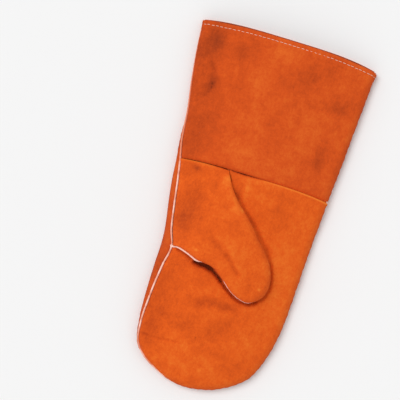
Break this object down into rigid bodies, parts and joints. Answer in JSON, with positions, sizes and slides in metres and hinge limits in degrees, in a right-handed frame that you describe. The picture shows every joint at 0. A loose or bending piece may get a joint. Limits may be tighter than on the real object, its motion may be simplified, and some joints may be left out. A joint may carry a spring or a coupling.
{
  "type": "leather palm work mitt",
  "caption": "Long-cuffed leather work mitt for the right hand, lying palm up, with a folded thumb and open hollows for hand and thumb.",
  "frame": {"origin": "on the surface that the mitt rests on, under the middle of its outline", "axes": "+Y towards the cuff's mouth, -Y towards the fingertip, -X to the thumb's side, +Z out of the palm"},
  "size_m": [0.1808, 0.362, 0.0439],
  "materials": {
    "suede_front": "matt orange split cowhide, napped",
    "suede_back": "matt orange split cowhide, napped",
    "welt": "pale undyed leather strip"
  },
  "bodies": {
    "root": {"back_panel": "suede_back", "cuff_front": "suede_front", "palm_panel": "suede_front", "thumb_outer": "suede_front", "thumb_inner": "suede_back", "side_welt": "welt", "thumb_welt": "welt"}
  },
  "joints": []
}
